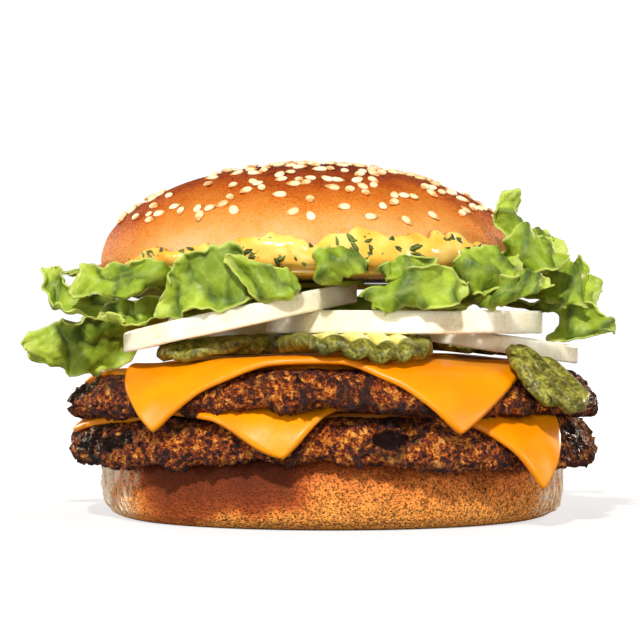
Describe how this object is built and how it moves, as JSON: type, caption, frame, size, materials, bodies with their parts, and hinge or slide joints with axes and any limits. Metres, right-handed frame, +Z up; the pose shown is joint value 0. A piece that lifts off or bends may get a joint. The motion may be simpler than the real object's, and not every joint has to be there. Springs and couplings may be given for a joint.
{
  "type": "double cheeseburger",
  "caption": "Tall burger with a seeded bun, beef patties, draped cheese slices, crinkle-cut pickles, raw onion rings, ruffled lettuce and creamy herb sauce.",
  "frame": {"origin": "centre of the flat underside of the bottom bun half, which the burger rests on", "axes": "+Z up through the stack, the front with the draped cheese corners faces -Y, +X to the right as seen from the front"},
  "size_m": [0.1398, 0.1299, 0.0841],
  "materials": {
    "toasted_bread": "baked crust, satin",
    "grilled_beef": "seared, moist and craggy",
    "melted_cheese": "soft satin sheen",
    "pickled_cucumber": "wet, crinkle-cut",
    "raw_onion": "moist and slightly clear",
    "green_lettuce": "crisp, satin, veined",
    "herb_sauce": "creamy and glossy"
  },
  "bodies": {
    "root": {"bun_crown": "toasted_bread", "bun_heel": "toasted_bread", "cheese_lower_over": "melted_cheese", "cheese_lower_under": "melted_cheese", "cheese_upper_over": "melted_cheese", "cheese_upper_under": "melted_cheese", "lettuce_back_1": "green_lettuce", "lettuce_back_2": "green_lettuce", "lettuce_back_3": "green_lettuce", "lettuce_back_4": "green_lettuce", "lettuce_back_5": "green_lettuce", "lettuce_far_right": "green_lettuce", "lettuce_far_right_low": "green_lettuce", "lettuce_fold": "green_lettuce", "lettuce_front_curl": "green_lettuce", "lettuce_front_inner": "green_lettuce", "lettuce_front_left": "green_lettuce", "lettuce_front_right": "green_lettuce", "lettuce_inner": "green_lettuce", "lettuce_left_curl": "green_lettuce", "lettuce_left_high": "green_lettuce", "lettuce_left_inner": "green_lettuce", "lettuce_left_low": "green_lettuce", "lettuce_middle": "green_lettuce", "lettuce_right": "green_lettuce", "lettuce_right_back": "green_lettuce", "lettuce_right_fold": "green_lettuce", "lettuce_right_high": "green_lettuce", "lettuce_right_top": "green_lettuce", "onion_back": "raw_onion", "onion_front": "raw_onion", "onion_left": "raw_onion", "onion_right": "raw_onion", "patty_lower": "grilled_beef", "patty_upper": "grilled_beef", "pickle_back": "pickled_cucumber", "pickle_front": "pickled_cucumber", "pickle_inner": "pickled_cucumber", "pickle_left": "pickled_cucumber", "pickle_right": "pickled_cucumber", "sauce": "herb_sauce"}
  },
  "joints": []
}
